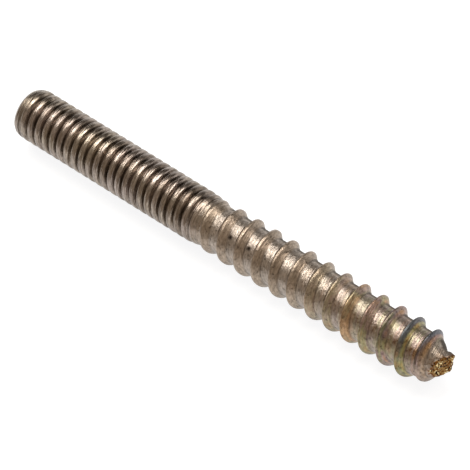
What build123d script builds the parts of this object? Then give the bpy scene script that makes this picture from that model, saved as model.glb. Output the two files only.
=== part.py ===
import os
from math import atan2, ceil, degrees, radians, tan

from build123d import *

# A hanger bolt lying on its side: one steel rod, with a machine thread on one half and a coarse
# wood thread rolled on the other, and the sharp point broken off.
# All lengths are millimetres, and places along the rod count from the flat machine end.

# The rod as a whole, and the short blank between its halves
overall_length = 87.5
shank_diameter = 8.12
shank_taper_length = 2.2

# The machine half, at the size of its thread's crests, with a chamfer at the end
machine_diameter = 8.62
machine_length = 38.9
machine_runout_length = 3.0
end_chamfer_length = 1.2
end_chamfer_depth = 0.5

# The wood thread, a narrow ridge on a straight root that stands taller towards the tip,
# steep behind and sloping more gently on the side that leads into the wood
wood_pitch = 3.6286
wood_root_diameter = 7.24
wood_first_crest_diameter = 8.72
wood_last_crest_diameter = 9.36
wood_crest_width = 0.3
wood_back_flank_angle = 30
wood_lead_flank_angle = 46
wood_start_angle = 87
wood_low_crest_diameter = 8.4
wood_lead_in_length = 1.2
wood_fade_length = 2.0

# The point, a short cone that is broken off
point_length = 2.9
stub_diameter = 4.0

# The break, a few slanted facets across the stub: how far each leans, which way it faces
# round the rod, and how far down the rim it reaches as shares of the point
break_lean_angles = (12, 30, 26, 38)
break_facing_angles = (310, 30, 235, 160)
break_rim_shares = (0.35, 0.33, 0.37, 0.09)

# How far the ridge sinks below the surface that it grows from, and is trimmed past its own reach
overlap = 0.3

machine_radius = machine_diameter / 2
shank_radius = shank_diameter / 2
wood_root_radius = wood_root_diameter / 2
wood_low_crest_radius = wood_low_crest_diameter / 2
wood_first_crest_radius = wood_first_crest_diameter / 2
wood_last_crest_radius = wood_last_crest_diameter / 2
stub_radius = stub_diameter / 2

point_start = overall_length - point_length
fade_start = point_start - wood_fade_length
ridge_start = machine_length - wood_pitch
wood_taper_angle = degrees(atan2(wood_last_crest_radius - wood_first_crest_radius, fade_start - ridge_start))


def turned(outline):
    """A round solid from its half outline, as (radius, place along the rod) corners."""
    corners = [(0, outline[0][1])] + outline + [(0, outline[-1][1])]
    with BuildSketch(Plane.XZ) as half:
        with BuildLine():
            Polyline(*corners, close=True)
        make_face()
    return revolve(half.sketch, axis=Axis.Z)


def coiled(section, radius, start, length, taper_angle):
    """A section, as (radius, place along the rod) corners, carried turn by turn along a right-hand helix."""
    helix = Helix(wood_pitch, length, radius, cone_angle=taper_angle)
    turns = ceil(length / wood_pitch)
    path = Wire([helix.trim(turn / turns, (turn + 1) / turns) for turn in range(turns)])
    with BuildSketch(Plane.XZ) as profile:
        with BuildLine():
            Polyline(*section, close=True)
        make_face()
    coil = sweep(profile.sketch, path=path, is_frenet=True)
    return Pos(0, 0, start) * Rot(0, 0, wood_start_angle) * coil


def broken_off(rod):
    """The rod with its point cut to the break's facets."""
    facets = zip(break_lean_angles, break_facing_angles, break_rim_shares)
    for lean, facing, rim_share in facets:
        rim_place = overall_length - rim_share * point_length
        centre_place = rim_place + stub_radius * tan(radians(lean))
        facet = Plane(Pos(0, 0, centre_place) * Rot(0, 0, facing) * Rot(0, lean, 0))
        rod = split(rod, bisect_by=facet, keep=Keep.BOTTOM)
    return rod


def blank():
    """The turned rod under both threads, from the chamfered machine end to the broken point."""
    return broken_off(
        turned(
            [
                (machine_radius - end_chamfer_depth, 0),
                (machine_radius, end_chamfer_length),
                (machine_radius, machine_length - machine_runout_length),
                (shank_radius, machine_length),
                (wood_root_radius, machine_length + shank_taper_length),
                (wood_root_radius, point_start),
                (stub_radius, overall_length),
            ]
        )
    )


def wood_ridge():
    """The wood thread's ridge, which rises out of the shank and fades before the point."""
    foot_radius = wood_root_radius - overlap
    crest_half_width = wood_crest_width / 2
    ridge_height = wood_first_crest_radius - foot_radius
    back_width = ridge_height * tan(radians(wood_back_flank_angle))
    lead_width = ridge_height * tan(radians(wood_lead_flank_angle))
    section = [
        (foot_radius, -crest_half_width - back_width),
        (wood_first_crest_radius, -crest_half_width),
        (wood_first_crest_radius, crest_half_width),
        (foot_radius, crest_half_width + lead_width),
    ]
    coil = coiled(section, wood_first_crest_radius, ridge_start, overall_length - ridge_start, wood_taper_angle)
    lead_in_end = machine_length + wood_lead_in_length
    limit = turned(
        [
            (foot_radius - overlap, machine_length),
            (wood_low_crest_radius, lead_in_end),
            (wood_last_crest_radius + overlap, lead_in_end + wood_pitch),
            (wood_last_crest_radius + overlap, fade_start),
            (foot_radius - overlap, point_start),
        ]
    )
    return coil & limit


# The screw lies along X with its tip at +X, on the ground and centred on its length
lying = Rot(0, 90, 0) * (blank() + wood_ridge())
axis_height = -lying.bounding_box().min.Z
screw = Pos(-overall_length / 2, 0, axis_height) * lying

os.makedirs("parts", exist_ok=True)
export_step(screw, "parts/double_ended_screw.step")
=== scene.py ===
import math

import bmesh
import bpy
from mathutils import Matrix, Vector, noise


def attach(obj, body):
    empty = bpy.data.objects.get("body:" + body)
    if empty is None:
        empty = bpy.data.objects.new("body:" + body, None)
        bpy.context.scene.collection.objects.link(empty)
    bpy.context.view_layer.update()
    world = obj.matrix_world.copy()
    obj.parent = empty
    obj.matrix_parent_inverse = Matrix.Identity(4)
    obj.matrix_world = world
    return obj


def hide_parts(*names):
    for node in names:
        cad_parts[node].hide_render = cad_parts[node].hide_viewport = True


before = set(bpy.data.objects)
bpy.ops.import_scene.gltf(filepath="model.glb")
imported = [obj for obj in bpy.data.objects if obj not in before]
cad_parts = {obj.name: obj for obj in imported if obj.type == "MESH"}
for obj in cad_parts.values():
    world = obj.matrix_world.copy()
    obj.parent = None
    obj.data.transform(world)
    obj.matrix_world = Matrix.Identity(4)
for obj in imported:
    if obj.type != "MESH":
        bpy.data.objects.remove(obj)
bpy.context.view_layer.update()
mm = 0.001
print("frame loaded")


def linear(hexColour):
    # sRGB hex to the linear colour that sockets take
    parts = [int(hexColour[i:i + 2], 16) / 255 for i in (1, 3, 5)]
    return tuple(c / 12.92 if c < 0.04045 else ((c + 0.055) / 1.055) ** 2.4 for c in parts) + (1,)


def addNode(tree, kind, links=(), stops=(), **settings):
    # one node: links are values or other nodes' outputs, in the order of its inputs or by their names
    # or numbers, stops are a colour ramp's, from left to right, and settings are its own properties
    made = tree.nodes.new(kind)
    for name, value in settings.items():
        setattr(made, name, value)
    for key, value in links.items() if isinstance(links, dict) else enumerate(links):
        if isinstance(value, bpy.types.NodeSocket):
            tree.links.new(value, made.inputs[key])
        else:
            made.inputs[key].default_value = value
    for i, (position, hexColour) in enumerate(stops):
        elements = made.color_ramp.elements
        stop = elements[i] if i < len(elements) else elements.new(position)
        stop.position, stop.color = position, linear(hexColour)
    return made


def along(places, s):
    # a value that runs straight between (place, value) pairs
    if s <= places[0][0]:
        return places[0][1]
    for (s0, a), (s1, b) in zip(places, places[1:]):
        if s <= s1:
            return a + (b - a) * (s - s0) / (s1 - s0)
    return places[-1][1]


def eased(t):
    # a smooth step from 0 to 1
    t = min(max(t, 0), 1)
    return t * t * (3 - 2 * t)


# The screw: places count from the flat machine end, sizes are mm, angles turn from +Y towards +Z
rod = {
    "halfLength": 43.75,
    "axisHeight": 4.673,
    "woodFrom": 41.5,  # past here only the wood thread is left
    "stepsPerTurn": 64,
    "firstTurn": -2,
    "turns": 43,
    "rowShares": (0, 0.025, 0.055, 0.09, 0.13, 0.17, 0.205, 0.24, 0.27, 0.31, 0.36, 0.41, 0.46, 0.5),
    "turnWeld": 0.0005,
    "tipWeld": 0.002,
    "endWeld": 0.0001,
    "endRingShare": 0.9,
    "sharpAngle": math.radians(62),
}
machineThread = {
    "pitch": 1.5875,
    "crestPlace": -0.184,
    "crestHalfWidth": 0.37,
    "flankWidth": 0.4,
    "roundShare": 0.3,
    "crown": 0.045,
    "crest": (
        (0, 3.8), (0.45, 4.12), (1.2, 4.31), (33.3, 4.31), (36.8, 4.32), (37.9, 4.25), (38.5, 4.15),
        (39, 4.02), (40.3, 3.74), (41.5, 3.63),
    ),
    "root": (
        (0, 3.8), (0.45, 4.1), (1.1, 4.24), (1.7, 4.05), (2.6, 3.65), (3.4, 3.56), (35.3, 3.56),
        (37.5, 3.78), (39, 4), (40.3, 3.74), (41.5, 3.63),
    ),
}
woodThread = {
    "pitch": 3.6286,
    "crestPlace": 39.165,
    "joinTurn": 25,
    "crestHalfWidth": ((39.3, 0.26), (59.3, 0.15), (81.3, 0.09)),
    "backWidth": 0.58,
    "backBend": 1.15,
    "leadWidth": ((80, 1.25), (83, 1.4)),
    "leadBend": 1.5,
    "drift": ((56, 0), (66, 0.2), (75, 0.3), (83, 0.38), (86.5, 0)),
    "fadeHeight": 0.4,
    "crest": (
        (38.5, 3.6), (39.2, 4.06), (40.1, 4.22), (43.3, 4.32), (47.7, 4.46), (54.7, 4.5), (62.7, 4.505),
        (66.7, 4.55), (69.7, 4.6), (73.7, 4.635), (80.7, 4.67), (82.3, 4.58), (83.1, 4.43), (84.2, 3.95),
        (85, 3.58), (85.5, 2.95), (85.9, 2.2), (87.9, 1.5),
    ),
    "root": (
        (38.5, 3.6), (83.2, 3.6), (84, 3.44), (84.7, 3.12), (85.9, 2.35), (86.65, 1.92), (87.9, 1.75),
    ),
    "pointSide": math.radians(20),
    "pointPlace": 84.2,
    "pointReach": 1.8,
    "pointShift": -0.08,
    "burrPlace": 85.9,
    "burrReach": 0.9,
    "burr": 0.6,
    "burrSharpness": 26,
}
breakFace = {
    "place": 86.85,
    "lean": 0.38,
    "facing": math.radians(-17),
    "spur": 0.1,
    "spurSide": math.radians(19),
    "spurSharpness": 7,
    "radius": 2.6,
    "capLength": 2.9,
    "grain": 0.24,
    "grainSize": 0.5,
    "grainSeed": 7,
    "swellSize": 1.25,
    "swellSeed": 3,
    "stainAndDarkReflection": 0.55,
    "mark": 2,  # in the layer "broken", where the stain runs from 0 to 1
}


def placeAtTurn(turn):
    # the rows of the mesh follow the fine pitch first and the coarse one after the shank
    fine = machineThread["crestPlace"] + machineThread["pitch"] * turn
    coarse = woodThread["crestPlace"] + woodThread["pitch"] * (turn - woodThread["joinTurn"])
    return max(fine, coarse)


def pastCrest(thread, s, angle):
    # how far past the nearest crest, towards the tip
    share = (s - thread["crestPlace"]) / thread["pitch"] - angle / math.tau
    return (share - round(share)) * thread["pitch"]


def machineRadius(s, angle):
    # the radius there, and how far up the thread's flank it lies, from 0 at the root to 1 at the crest
    m = machineThread
    past = abs(pastCrest(m, s, angle))
    share = (m["crestHalfWidth"] + m["flankWidth"] - past) / m["flankWidth"]
    share = (1 - m["roundShare"]) * min(max(share, 0), 1) + m["roundShare"] * eased(share)
    crest = along(m["crest"], s)
    root = min(along(m["root"], s), crest)
    radius = root + (crest - root) * share
    radius -= m["crown"] * min(past / m["crestHalfWidth"], 1) ** 2 * share
    return radius, share


def woodRadius(s, angle):
    # the same for the wood thread, which is steep behind and slopes more gently ahead
    w = woodThread
    past = pastCrest(w, s, angle)
    width, bend = w["backWidth"], w["backBend"]
    if past > 0:
        width, bend = along(w["leadWidth"], s), w["leadBend"]
    share = (along(w["crestHalfWidth"], s) + width - abs(past)) / width
    share = min(max(share, 0), 1) ** bend
    root = along(w["root"], s)
    ridge = max(along(w["crest"], s) - root, 0)
    radius = root + ridge * share
    # the point sits a little off centre, and a burr stands up on one side of the break
    towards = math.cos(angle - w["pointSide"])
    radius += w["pointShift"] * eased((s - w["pointPlace"]) / w["pointReach"]) * towards
    burr = w["burr"] * eased((s - w["burrPlace"]) / w["burrReach"])
    radius += burr * max(towards, 0) ** w["burrSharpness"]
    return radius, share * min(ridge / w["fadeHeight"], 1)


def rodRadius(s, angle):
    # whichever thread stands out further
    fine, coarse = machineRadius(s, angle), woodRadius(s, angle)
    return coarse if s > rod["woodFrom"] or coarse[0] > fine[0] else fine


def breakPlace(y, z):
    # where the broken face lies: a leaning plane with coarse grain and a spur left on one side
    b = breakFace
    lean = (y * math.cos(b["facing"]) + z * math.sin(b["facing"])) * b["lean"]
    towards = (y * math.cos(b["spurSide"]) + z * math.sin(b["spurSide"])) / b["radius"]
    spur = b["spur"] * min(max(towards, 0), 1) ** b["spurSharpness"]
    swell = noise.noise((y / b["swellSize"], z / b["swellSize"], b["swellSeed"])) * b["grain"]
    grain = noise.noise((y / b["grainSize"], z / b["grainSize"], b["grainSeed"])) * b["grain"]
    return b["place"] + lean + spur + swell + grain


def picked(geom, kind):
    return [g for g in geom if isinstance(g, kind)]


def makeRod():
    bm = bmesh.new()
    crestLayer = bm.verts.layers.float.new("crestShare")
    brokenLayer = bm.verts.layers.float.new("broken")
    # one turn of a rod of radius 1 with turns of length 1, whose rows lie along the thread, and its copies
    shares = [-share for share in reversed(rod["rowShares"][1:])] + list(rod["rowShares"])
    chain = [bm.verts.new((rod["firstTurn"] + share, 1, 0)) for share in shares]
    edges = [bm.edges.new(pair) for pair in zip(chain, chain[1:])]
    bmesh.ops.spin(
        bm, geom=chain + edges, cent=(0, 0, 0), axis=(1, 0, 0), dvec=(1 / rod["stepsPerTurn"], 0, 0),
        angle=math.tau, steps=rod["stepsPerTurn"],
    )
    oneTurn = bm.verts[:] + bm.edges[:] + bm.faces[:]
    for turn in range(1, rod["turns"]):
        copy = bmesh.ops.duplicate(bm, geom=oneTurn)["geom"]
        bmesh.ops.translate(bm, vec=(turn, 0, 0), verts=picked(copy, bmesh.types.BMVert))
    bmesh.ops.remove_doubles(bm, verts=bm.verts, dist=rod["turnWeld"])
    # drawn out to the screw's own shape, and gathered to a cap past the break
    for v in bm.verts:
        angle = math.atan2(v.co.z, v.co.y)
        s = placeAtTurn(v.co.x)
        r, v[crestLayer] = rodRadius(s, angle)
        edge = breakPlace(r * math.cos(angle), r * math.sin(angle))
        v[brokenLayer] = eased((s - edge + breakFace["stainAndDarkReflection"]) / breakFace["stainAndDarkReflection"])
        if s > edge:
            v[brokenLayer] = breakFace["mark"]
            r *= max(0, 1 - (s - edge) / breakFace["capLength"])
            s = breakPlace(r * math.cos(angle), r * math.sin(angle))
        v.co = (s + along(woodThread["drift"], s), r * math.cos(angle), r * math.sin(angle))
    bmesh.ops.remove_doubles(bm, verts=bm.verts, dist=rod["tipWeld"])
    # the machine end is cut flat and closed
    bmesh.ops.bisect_plane(
        bm, geom=bm.verts[:] + bm.edges[:] + bm.faces[:], dist=rod["endWeld"],
        plane_co=(0, 0, 0), plane_no=(-1, 0, 0), clear_outer=True,
    )
    rim = [e for e in bm.edges if e.is_boundary]
    ring = bmesh.ops.extrude_edge_only(bm, edges=rim)["geom"]
    ringScale = (1, rod["endRingShare"], rod["endRingShare"])
    bmesh.ops.scale(bm, vec=ringScale, verts=picked(ring, bmesh.types.BMVert))
    bmesh.ops.contextual_create(bm, geom=picked(ring, bmesh.types.BMEdge))
    bmesh.ops.recalc_face_normals(bm, faces=bm.faces)
    for f in bm.faces:
        onBreak = all(v[brokenLayer] == breakFace["mark"] for v in f.verts)
        f.smooth = not onBreak
        f.material_index = int(onBreak)
    bmesh.ops.translate(bm, vec=(-rod["halfLength"], 0, rod["axisHeight"]), verts=bm.verts)
    bmesh.ops.scale(bm, vec=(mm, mm, mm), verts=bm.verts)
    mesh = bpy.data.meshes.new("screwRod")
    bm.to_mesh(mesh)
    bm.free()
    mesh.set_sharp_from_angle(angle=rod["sharpAngle"])
    piece = bpy.data.objects.new("screwRod", mesh)
    bpy.context.scene.collection.objects.link(piece)
    return piece


screwRod = makeRod()
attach(screwRod, "root")
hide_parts("double_ended_screw")
print("rod and threads modelled:", len(screwRod.data.polygons), "faces")

# The break: sizes are mm
fracture = {
    "black": "#2a1e12",
    "brown": "#6e4519",
    "gold": "#8f7044",
    "glint": "#d9c493",
    "tintStops": ((0, "black"), (0.14, "brown"), (0.56, "gold"), (0.9, "glint")),
    "grainSize": 0.27,
    "reliefDepth": 0.05,
    "dullness": (0, 1, 0.6, 0.3),  # roughness, from the black crystals to the glinting ones
}


def fracturedSteel():
    # the coarse grain of broken steel, gone golden brown: some crystals glint and some are black
    material = bpy.data.materials.new("fracturedSteel")
    material.use_nodes = True
    tree = material.node_tree
    shader = tree.nodes["Principled BSDF"]
    shader.inputs["Metallic"].default_value = 1
    place = addNode(tree, "ShaderNodeTexCoord").outputs["Object"]
    grainScale = 1 / (fracture["grainSize"] * mm)
    crystals = addNode(tree, "ShaderNodeTexVoronoi", {"Vector": place, "Scale": grainScale}).outputs["Color"]
    pick = addNode(tree, "ShaderNodeSeparateColor", (crystals,)).outputs[0]
    stops = [(position, fracture[tint]) for position, tint in fracture["tintStops"]]
    tints = addNode(tree, "ShaderNodeValToRGB", (pick,), stops)
    tints.color_ramp.interpolation = "CONSTANT"
    tree.links.new(tints.outputs[0], shader.inputs["Base Color"])
    dull = addNode(tree, "ShaderNodeMapRange", (pick, *fracture["dullness"])).outputs[0]
    tree.links.new(dull, shader.inputs["Roughness"])
    depth = fracture["reliefDepth"] * mm
    relief = addNode(tree, "ShaderNodeBump", {"Height": pick, "Strength": 1, "Distance": depth}).outputs[0]
    tree.links.new(relief, shader.inputs["Normal"])
    return material


# The plating: each range gives where a share starts and where it is full, and then, where they aren't
# 0 and 1, what it is there
plating = {
    "grey": "#9c9088",
    "straw": "#998e80",
    "bronze": "#6c5f53",
    "tan": "#aba095",
    "flank": "#a69685",
    "amber": "#b88238",
    "olive": "#90905c",
    "mauve": "#9c8080",
    "blued": "#5a6068",
    # dark brown: dirt in blotches and pits, dirt and painted shade in the roots, painted shade on one side of
    # the coarse roots
    "dirtAndShade": "#241c15",
    # mottled brown, painted as a dark reflection along one side of the coarse roots
    "stainAndDarkReflection": "#6b4c26",
    "filmStops": ((0.38, "amber"), (0.46, "olive"), (0.53, "mauve"), (0.62, "amber")),
    "tintShare": 0.7,  # how far the coarse half takes on tan and flank
    # patterns: size in mm, detail and roughness; the roll marks are coarser than real ones, so that they show
    "cloud": (5, 3, 0.5),
    "mottle": (0.55, 4, 0.6),
    "bands": (0.9, 3, 0.5),
    "rollMarks": (0.2, 2, 0.5),
    "grain": (0.2, 2, 0.5),
    "lineStretch": 0.05,
    "grainStretch": 0.3,
    "markDepth": 0.1,
    "mottleDepth": 0.08,
    # shares read from the patterns
    "strawCloud": (0.42, 0.64),
    "bronzeBands": (0.48, 0.7, 0, 0.75),
    "bronzeMarks": (0.48, 0.64, 0, 0.75),
    # how much dirt and painted shade darken the roots, along the roll marks
    "rootDirtAndShadeMarks": (0.42, 0.62, 0.2, 0.55),
    "blotches": (0.56, 0.7, 0, 0.6),
    # the mottling of the painted dark reflection
    "darkReflectionMottle": (0.4, 0.6, 0.05, 0.85),
    "rustMottle": (0.42, 0.6, 0, 0.6),
    "grainLightness": (0.3, 0.7, 0.68, 1.25),
    "roughness": (0.35, 0.7, 0.25, 0.36),
    "coarseRoughness": 0.09,
    # roughness added where shade is painted on the coarse roots
    "shadeRoughness": 0.4,
    # up the flank, from 0 at the root to 1 at the crest
    "onRoot": (0.15, 0),
    "onFineRoot": (0.9, 0.4),
    "ridgeFoot": ((0.01, "#000000"), (0.09, "#ffffff"), (0.28, "#000000")),
    "upFlank": (0.03, 0.2),
    "filmUpFlank": (0.02, 0.3, 0.45, 0.85),
    "bluedUpFlank": (0.4, 0.62, 0, 0.9),
    # along the rod, in mm from the machine end
    "shankPlace": 39.1,
    "shankPlaces": (37.2, 41.5),
    "filmPlaces": (58.3, 83.3),
    "conePlaces": (84.2, 85),
    "coneFilm": (1, 0.2),
    "bluedFrom": (75.3, 79.3),
    "bluedTo": (85.3, 83.8),
    # round the rod, in radians from the top towards +Y
    "bluedTurn": (-1.18, -0.28, 0.25, 1),
    # the side of the coarse roots where the dark reflection is painted
    "darkReflectionTurn": -0.55,
    "darkReflectionSpread": (0.3, 0.08),
    # the side of the coarse roots where shade is painted
    "shadeTurn": 1.2,
    "shadeSpread": (0.48, 0.28, 0, 0.85),
    # pits in the frame's own axes, in mm
    "pits": ((1.8, -1.58, 7.91), (5.6, -1.55, 7.92)),
    "pitReach": (0.55, 0.15),
    "pitDarkness": (0, 0.95),
}


def onAxis(places):
    # places along the rod as X in metres
    return [(s - rod["halfLength"]) * mm for s in places]


def platedSteel():
    # bright zinc plate on rolled steel: a warm grey mirror drawn into fine lines by the thread rolls,
    # straw to amber where the passivated film is thick, with brown dirt and painted shade down in the roots,
    # and a painted dark reflection and painted shade along two sides of the coarse roots
    material = bpy.data.materials.new("zincPlatedSteel")
    material.use_nodes = True
    tree = material.node_tree
    shader = tree.nodes["Principled BSDF"]
    place = addNode(tree, "ShaderNodeTexCoord").outputs["Object"]
    x, y, z = addNode(tree, "ShaderNodeSeparateXYZ", (place,)).outputs
    crest = addNode(tree, "ShaderNodeAttribute", attribute_name="crestShare").outputs["Fac"]
    broken = addNode(tree, "ShaderNodeAttribute", attribute_name="broken").outputs["Fac"]

    # a place along the rod that stays the same all the way round each thread
    axisHeight = rod["axisHeight"] * mm
    height = addNode(tree, "ShaderNodeMath", (z, axisHeight), operation="SUBTRACT").outputs[0]
    turned = addNode(tree, "ShaderNodeMath", (y, height), operation="ARCTAN2").outputs[0]
    shank = onAxis([plating["shankPlace"]])
    coarse = addNode(tree, "ShaderNodeMath", (x, *shank), operation="GREATER_THAN").outputs[0]
    coarseLook = addNode(tree, "ShaderNodeMapRange", (x, *onAxis(plating["shankPlaces"]))).outputs[0]
    fineLead = machineThread["pitch"] * mm / math.tau
    extraLead = woodThread["pitch"] * mm / math.tau - fineLead
    lead = addNode(tree, "ShaderNodeMath", (coarse, extraLead, fineLead), operation="MULTIPLY_ADD").outputs[0]
    threadPlace = addNode(tree, "ShaderNodeMath", (turned, lead, x), operation="MULTIPLY_ADD").outputs[0]
    threadSpace = addNode(tree, "ShaderNodeCombineXYZ", (threadPlace, y, z)).outputs[0]

    # the patterns, some of them drawn out along the thread
    spaces = {"cloud": place, "mottle": place}
    stretches = {"bands": "lineStretch", "rollMarks": "lineStretch", "grain": "grainStretch"}
    for name, stretch in stretches.items():
        links = (threadSpace, (1, plating[stretch], plating[stretch]))
        spaces[name] = addNode(tree, "ShaderNodeVectorMath", links, operation="MULTIPLY").outputs[0]
    patterns = []
    for name, space in spaces.items():
        size, detail, roughness = plating[name]
        links = {"Vector": space, "Scale": 1 / (size * mm), "Detail": detail, "Roughness": roughness}
        patterns.append(addNode(tree, "ShaderNodeTexNoise", links).outputs[0])
    cloud, mottle, bands, rollMarks, grain = patterns

    # straw clouds, and bronze bands and marks along the thread
    strawShare = addNode(tree, "ShaderNodeMapRange", (cloud, *plating["strawCloud"])).outputs[0]
    bandShare = addNode(tree, "ShaderNodeMapRange", (bands, *plating["bronzeBands"])).outputs[0]
    markShare = addNode(tree, "ShaderNodeMapRange", (rollMarks, *plating["bronzeMarks"])).outputs[0]

    # the coarse half has paler roots and browner flanks
    upFlank = addNode(tree, "ShaderNodeMapRange", (crest, *plating["upFlank"])).outputs[0]
    links = {0: upFlank, 6: linear(plating["tan"]), 7: linear(plating["flank"])}
    coarseTint = addNode(tree, "ShaderNodeMix", links, data_type="RGBA").outputs[2]
    links = (coarseLook, plating["tintShare"])
    tintShare = addNode(tree, "ShaderNodeMath", links, operation="MULTIPLY").outputs[0]

    # the film thickens to amber towards the tip and up the flanks, with faint olive and mauve in it
    nearTip = addNode(tree, "ShaderNodeMapRange", (x, *onAxis(plating["filmPlaces"]))).outputs[0]
    filmUpFlank = addNode(tree, "ShaderNodeMapRange", (crest, *plating["filmUpFlank"])).outputs[0]
    conePlaces = onAxis(plating["conePlaces"])
    onCone = addNode(tree, "ShaderNodeMapRange", (x, *conePlaces, *plating["coneFilm"])).outputs[0]
    filmShare = nearTip
    for share in (filmUpFlank, onCone):
        filmShare = addNode(tree, "ShaderNodeMath", (filmShare, share), operation="MULTIPLY").outputs[0]
    filmPlace = addNode(tree, "ShaderNodeMath", (bands, cloud), operation="ADD").outputs[0]
    filmPlace = addNode(tree, "ShaderNodeMath", (filmPlace, 2), operation="DIVIDE").outputs[0]
    stops = [(position, plating[tint]) for position, tint in plating["filmStops"]]
    film = addNode(tree, "ShaderNodeValToRGB", (filmPlace,), stops).outputs[0]

    # the last two turns are blued near their crests
    blueShare = addNode(tree, "ShaderNodeMapRange", (x, *onAxis(plating["bluedFrom"]))).outputs[0]
    blueEnd = addNode(tree, "ShaderNodeMapRange", (x, *onAxis(plating["bluedTo"]))).outputs[0]
    blueUpFlank = addNode(tree, "ShaderNodeMapRange", (crest, *plating["bluedUpFlank"])).outputs[0]
    blueSide = addNode(tree, "ShaderNodeMapRange", (turned, *plating["bluedTurn"])).outputs[0]
    for share in (blueEnd, blueUpFlank, blueSide):
        blueShare = addNode(tree, "ShaderNodeMath", (blueShare, share), operation="MULTIPLY").outputs[0]

    # dirt and painted shade darken the fine roots and the foot of the coarse ridge, and dirt lies in blotches
    # on the coarse half
    fineRoot = addNode(tree, "ShaderNodeMapRange", (crest, *plating["onFineRoot"])).outputs[0]
    ridgeFoot = addNode(tree, "ShaderNodeValToRGB", (crest,), plating["ridgeFoot"]).outputs[0]
    inRoot = addNode(tree, "ShaderNodeMix", {0: coarse, 2: fineRoot, 3: ridgeFoot}).outputs[0]
    rootDirtAndShadeMarks = addNode(tree, "ShaderNodeMapRange", (rollMarks, *plating["rootDirtAndShadeMarks"])).outputs[0]
    rootDirtAndShadeShare = addNode(tree, "ShaderNodeMath", (inRoot, rootDirtAndShadeMarks), operation="MULTIPLY").outputs[0]
    blotches = addNode(tree, "ShaderNodeMapRange", (mottle, *plating["blotches"])).outputs[0]
    blotchShare = addNode(tree, "ShaderNodeMath", (blotches, coarse), operation="MULTIPLY").outputs[0]

    # a painted dark reflection, mottled brown, runs along the upper near side of the coarse roots towards the
    # tip, and painted shade darkens the coarse roots on the upper far side
    onRoot = addNode(tree, "ShaderNodeMapRange", (crest, *plating["onRoot"])).outputs[0]
    darkReflectionMottle = addNode(tree, "ShaderNodeMapRange", (mottle, *plating["darkReflectionMottle"])).outputs[0]
    sides = (
        (plating["darkReflectionTurn"], plating["darkReflectionSpread"], (darkReflectionMottle, onRoot, nearTip)),
        (plating["shadeTurn"], plating["shadeSpread"], (onRoot, coarse)),
    )
    sideShares = []
    for turn, spread, shares in sides:
        away = addNode(tree, "ShaderNodeMath", (turned, turn), operation="SUBTRACT").outputs[0]
        away = addNode(tree, "ShaderNodeMath", (away,), operation="ABSOLUTE").outputs[0]
        sideShare = addNode(tree, "ShaderNodeMapRange", (away, *spread)).outputs[0]
        for share in shares:
            sideShare = addNode(tree, "ShaderNodeMath", (sideShare, share), operation="MULTIPLY").outputs[0]
        sideShares.append(sideShare)
    paintedReflectionShare, paintedShadeShare = sideShares

    # two dark pits in the first coarse roots
    pitShares = []
    pitReach = [reach * mm for reach in plating["pitReach"]]
    for pit in plating["pits"]:
        centre = [c * mm for c in pit]
        away = addNode(tree, "ShaderNodeVectorMath", (place, centre), operation="DISTANCE").outputs["Value"]
        pitShare = addNode(tree, "ShaderNodeMapRange", (away, *pitReach, *plating["pitDarkness"])).outputs[0]
        pitShares.append(pitShare)

    # rust from the break has crept back over the point
    rustMottle = addNode(tree, "ShaderNodeMapRange", (mottle, *plating["rustMottle"])).outputs[0]
    rust = addNode(tree, "ShaderNodeMath", (broken, rustMottle), operation="MULTIPLY", use_clamp=True)

    # each colour is laid over those before it
    colour = linear(plating["grey"])
    dirtAndShade = linear(plating["dirtAndShade"])
    layers = [
        (strawShare, linear(plating["straw"])),
        (bandShare, linear(plating["bronze"])),
        (markShare, linear(plating["bronze"])),
        (tintShare, coarseTint),
        (filmShare, film),
        (blueShare, linear(plating["blued"])),
        # dirt and painted shade in the roots
        (rootDirtAndShadeShare, dirtAndShade),
        (blotchShare, dirtAndShade),
        # painted dark reflection along the upper near side of the coarse roots
        (paintedReflectionShare, linear(plating["stainAndDarkReflection"])),
        *((pitShare, dirtAndShade) for pitShare in pitShares),
        # painted shade on the upper far side of the coarse roots
        (paintedShadeShare, dirtAndShade),
        (rust.outputs[0], linear(fracture["brown"])),
    ]
    for share, tint in layers:
        colour = addNode(tree, "ShaderNodeMix", {0: share, 6: colour, 7: tint}, data_type="RGBA").outputs[2]

    # fine grain all over, drawn out along the thread
    lightness = addNode(tree, "ShaderNodeMapRange", (grain, *plating["grainLightness"])).outputs[0]
    links = {0: colour, "Scale": lightness}
    colour = addNode(tree, "ShaderNodeVectorMath", links, operation="SCALE").outputs[0]
    tree.links.new(colour, shader.inputs["Base Color"])

    # the painted shade is dull and no metal, and the coarse half a little duller than the fine one
    metalShare = addNode(tree, "ShaderNodeMath", (1, paintedShadeShare), operation="SUBTRACT").outputs[0]
    tree.links.new(metalShare, shader.inputs["Metallic"])
    dull = addNode(tree, "ShaderNodeMapRange", (rollMarks, *plating["roughness"])).outputs[0]
    for share, extra in ((coarseLook, plating["coarseRoughness"]), (paintedShadeShare, plating["shadeRoughness"])):
        dull = addNode(tree, "ShaderNodeMath", (share, extra, dull), operation="MULTIPLY_ADD").outputs[0]
    tree.links.new(dull, shader.inputs["Roughness"])

    # the marks stand in relief, and the coarse half is a little uneven
    links = {"Height": rollMarks, "Strength": 1, "Distance": plating["markDepth"] * mm}
    relief = addNode(tree, "ShaderNodeBump", links).outputs[0]
    uneven = addNode(tree, "ShaderNodeMath", (mottle, coarseLook), operation="MULTIPLY").outputs[0]
    links = {"Height": uneven, "Strength": 1, "Distance": plating["mottleDepth"] * mm, "Normal": relief}
    relief = addNode(tree, "ShaderNodeBump", links).outputs[0]
    tree.links.new(relief, shader.inputs["Normal"])
    return material


screwRod.data.materials.append(platedSteel())
screwRod.data.materials.append(fracturedSteel())
print("materials made")

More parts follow.
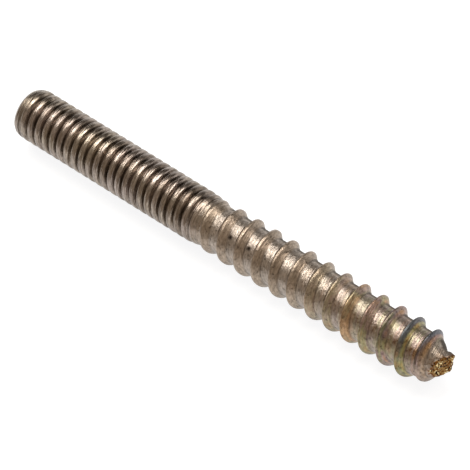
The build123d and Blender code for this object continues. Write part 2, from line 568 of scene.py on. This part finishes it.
# Floor: plain white paper that the camera and the metal both see as white, sizes in metres
paper = {
    "halfSize": 1.5,
    "base": "#8c8c8a",
    "roughness": 0.9,
    "lift": "#f8f9fb",
    "liftStrength": 0.9,
}
floorMesh = bpy.data.meshes.new("floor")
bm = bmesh.new()
bmesh.ops.create_grid(bm, x_segments=1, y_segments=1, size=paper["halfSize"])
bm.to_mesh(floorMesh)
bm.free()
floor = bpy.data.objects.new("floor", floorMesh)
bpy.context.scene.collection.objects.link(floor)


def whitePaper():
    # matte white paper, lifted to white for the camera and for reflections, and still taking a shadow
    material = bpy.data.materials.new("whitePaper")
    material.use_nodes = True
    tree = material.node_tree
    shader = tree.nodes["Principled BSDF"]
    shader.inputs["Base Color"].default_value = linear(paper["base"])
    shader.inputs["Roughness"].default_value = paper["roughness"]
    shader.inputs["Emission Color"].default_value = linear(paper["lift"])
    rays = addNode(tree, "ShaderNodeLightPath").outputs
    seen = rays["Is Camera Ray"]
    for kind in ("Is Glossy Ray", "Is Transmission Ray"):
        seen = addNode(tree, "ShaderNodeMath", (seen, rays[kind]), operation="ADD").outputs[0]
    lift = addNode(tree, "ShaderNodeMath", (seen, paper["liftStrength"]), operation="MULTIPLY").outputs[0]
    tree.links.new(lift, shader.inputs["Emission Strength"])
    return material


floorMesh.materials.append(whitePaper())

# Light: two broad lamps aimed at the ground under the screw, in a dim warm room that is darker on its
# far side; places and sizes are metres, power is watts
room = {
    "near": "#b2a494",
    "far": "#564e46",
    "fade": (0, 0.6),
}
lamps = {
    "overhead": {"place": (-0.2, 0.19, 0.57), "size": (0.85, 0.22), "power": 4.3, "colour": "#fffdf9"},
    "side": {"place": (0.36, 0.44, 0.56), "size": (0.5, 0.5), "power": 1.75, "colour": "#fff6ec"},
}
world = bpy.data.worlds.new("room")
world.use_nodes = True
roomTree = world.node_tree
direction = addNode(roomTree, "ShaderNodeTexCoord").outputs["Generated"]
farSide = addNode(roomTree, "ShaderNodeSeparateXYZ", (direction,)).outputs["Y"]
farShare = addNode(roomTree, "ShaderNodeMapRange", (farSide, *room["fade"])).outputs[0]
roomLinks = {0: farShare, 6: linear(room["near"]), 7: linear(room["far"])}
roomColour = addNode(roomTree, "ShaderNodeMix", roomLinks, data_type="RGBA").outputs[2]
roomTree.links.new(roomColour, roomTree.nodes["Background"].inputs["Color"])
bpy.context.scene.world = world

for name, lamp in lamps.items():
    light = bpy.data.lights.new(name, "AREA")
    light.shape = "ELLIPSE"
    light.size, light.size_y = lamp["size"]
    light.energy = lamp["power"]
    light.color = linear(lamp["colour"])[:3]
    holder = bpy.data.objects.new(name, light)
    holder.location = lamp["place"]
    holder.rotation_euler = (-Vector(lamp["place"])).to_track_quat("-Z", "Y").to_euler()
    bpy.context.scene.collection.objects.link(holder)
print("stage and lights set")

# Camera: the photograph's view, with the shank on the pixel where the photograph has it; the shank's
# place is mm, the distance metres
view = {
    "azimuth": math.radians(59),
    "elevation": math.radians(54.8),
    "roll": math.radians(-22),
    "distance": 0.772,
    "lens": 378.27,
    "sensorWidth": 36,
    "clip": (0.01, 10),
    "shank": (-5.09, 0, 4.673),
    "shankPixel": (208.7, 221.2),
    "pixelsPerMm": 6.397,
    "imageSize": 470,
}
a, e = view["azimuth"], view["elevation"]
back = Vector((math.sin(a) * math.cos(e), -math.cos(a) * math.cos(e), math.sin(e)))
level = Vector((math.cos(a), math.sin(a), 0))
right = level * math.cos(view["roll"]) + back.cross(level) * math.sin(view["roll"])
up = back.cross(right)
aim = Vector(view["shank"])
aim += right * (view["imageSize"] / 2 - view["shankPixel"][0]) / view["pixelsPerMm"]
aim -= up * (view["imageSize"] / 2 - view["shankPixel"][1]) / view["pixelsPerMm"]
camera = bpy.data.objects.new("camera", bpy.data.cameras.new("camera"))
camera.data.lens = view["lens"]
camera.data.sensor_width = view["sensorWidth"]
camera.data.clip_start, camera.data.clip_end = view["clip"]
camera.rotation_euler = Matrix((right, up, back)).transposed().to_euler()
camera.location = aim * mm + back * view["distance"]
bpy.context.scene.collection.objects.link(camera)
bpy.context.scene.camera = camera
bpy.context.scene.view_settings.view_transform = "Standard"
print("camera set")
